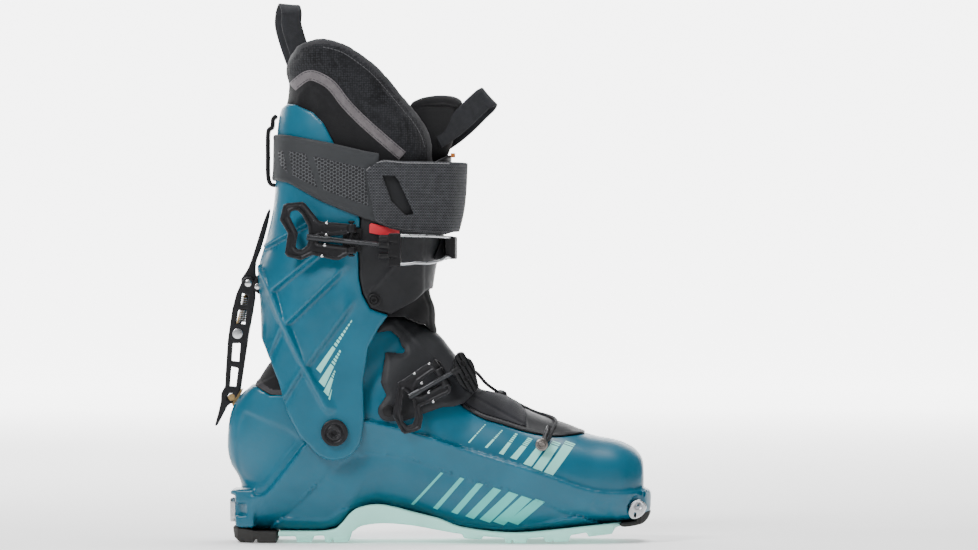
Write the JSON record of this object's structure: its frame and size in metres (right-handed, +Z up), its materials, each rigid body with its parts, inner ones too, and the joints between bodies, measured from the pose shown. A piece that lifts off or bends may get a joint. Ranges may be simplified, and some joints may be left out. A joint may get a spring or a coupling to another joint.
{
  "type": "alpine touring boot",
  "caption": "Right ski touring boot: hinged cuff on a foot shell, liner, power strap, two lever buckles, heel walk lock and lugged sole.",
  "frame": {"origin": "bottom centre of the boot's box, on the ground under the sole", "axes": "+X to the toe, +Y to the inner (medial) side, +Z up"},
  "size_m": [0.3084, 0.119, 0.3802],
  "materials": {
    "teal_plastic": "semi-gloss moulded polyamide",
    "mint_rubber": "matt rubber tread",
    "black_plastic": "satin moulded plastic",
    "grey_plastic": "satin flexible plastic",
    "dark_rubber": "matt rubber",
    "liner_fabric": "brushed knit over foam",
    "webbing": "woven webbing",
    "foam_board": "pressed foam board",
    "steel": "machined steel",
    "brass": "plain brass",
    "anodised": "black anodised aluminium",
    "red_tag": "plain woven tag"
  },
  "bodies": {
    "lower": {"lower_shell": "teal_plastic", "tread_sole": "mint_rubber", "heel_pad": "dark_rubber", "toe_bumper": "dark_rubber", "toe_fitting_outer": "steel", "toe_fitting_inner": "steel", "heel_fitting": "steel", "boot_board": "foam_board", "footbed": "liner_fabric", "liner_foot": "liner_fabric", "rear_collar": "grey_plastic", "instep_flap": "grey_plastic", "flap_rivet": "steel", "gaiter_frame": "grey_plastic", "gaiter": "liner_fabric", "toe_flap": "grey_plastic", "instep_cable": "steel", "cable_screw": "anodised", "cable_guide": "black_plastic", "heel_pin": "brass", "pivot_bushing_outer": "brass", "pivot_bushing_inner": "brass", "instep_buckle_base": "black_plastic"},
    "cuff": {"cuff_shell": "teal_plastic", "cuff_overlap": "black_plastic", "overlap_rivet": "steel", "pivot_bolt_outer": "anodised", "pivot_bolt_inner": "anodised", "liner_cuff": "liner_fabric", "liner_tongue": "liner_fabric", "power_strap_rear": "webbing", "power_strap_front": "webbing", "strap_keeper": "black_plastic", "pull_loop_rear": "webbing", "pull_loop_front": "webbing", "lock_bracket": "black_plastic", "upper_buckle_base": "black_plastic", "front_rack": "black_plastic", "side_tag": "red_tag"},
    "walk_lever": {"walk_lever": "anodised"},
    "lock_bar": {"lock_bar": "anodised"},
    "upper_lever": {"upper_buckle_lever": "anodised"},
    "upper_bail": {"upper_block": "black_plastic", "upper_wire_top": "steel", "upper_wire_bottom": "steel", "upper_hook": "black_plastic"},
    "upper_rod": {"upper_adjust_rod": "anodised"},
    "instep_lever": {"instep_buckle_lever": "anodised"},
    "instep_bail": {"instep_block": "black_plastic"},
    "instep_rod": {"instep_adjust_rod": "anodised"}
  },
  "joints": [
    {"name": "cuff_hinge", "type": "hinge", "parent": "lower", "child": "cuff", "pos_m": [-0.0695, 0.0045, 0.0778], "axis": [0, 1, 0], "range_deg": [-20, 20]},
    {"name": "walk_lever_hinge", "type": "hinge", "parent": "cuff", "child": "walk_lever", "pos_m": [-0.1243, 0.0045, 0.18], "axis": [0, -1, 0], "range_deg": [0, 70]},
    {"name": "lock_bar_hinge", "type": "hinge", "parent": "walk_lever", "child": "lock_bar", "pos_m": [-0.1309, 0.0045, 0.1823], "axis": [0, -1, 0], "range_deg": [-84, 0]},
    {"name": "upper_lever_hinge", "type": "hinge", "parent": "cuff", "child": "upper_lever", "pos_m": [-0.0575, -0.0505, 0.213], "axis": [0, 0, 1], "range_deg": [0, 135]},
    {"name": "upper_bail_hinge", "type": "hinge", "parent": "upper_lever", "child": "upper_bail", "pos_m": [-0.084, -0.0557, 0.213], "axis": [0, 0, 1], "range_deg": [-168.75, 0]},
    {"name": "upper_rod_spin", "type": "hinge", "parent": "upper_bail", "child": "upper_rod", "pos_m": [-0.0845, -0.0557, 0.2141], "axis": [0.9943, 0, -0.1071], "continuous": true},
    {"name": "instep_lever_hinge", "type": "hinge", "parent": "lower", "child": "instep_lever", "pos_m": [0.006, -0.0411, 0.1165], "axis": [-0.49, 0, 0.8717], "range_deg": [0, 135]},
    {"name": "instep_bail_hinge", "type": "hinge", "parent": "instep_lever", "child": "instep_bail", "pos_m": [-0.0175, -0.0465, 0.103], "axis": [-0.49, 0, 0.8717], "range_deg": [-168.75, 0]},
    {"name": "instep_rod_spin", "type": "hinge", "parent": "instep_bail", "child": "instep_rod", "pos_m": [-0.0175, -0.0465, 0.103], "axis": [0.8721, 0, 0.4894], "continuous": true}
  ],
  "couplings": [
    {"joint": "lock_bar_hinge", "follows": "walk_lever_hinge", "ratio": -1.2},
    {"joint": "upper_bail_hinge", "follows": "upper_lever_hinge", "ratio": -1.25},
    {"joint": "instep_bail_hinge", "follows": "instep_lever_hinge", "ratio": -1.25}
  ]
}
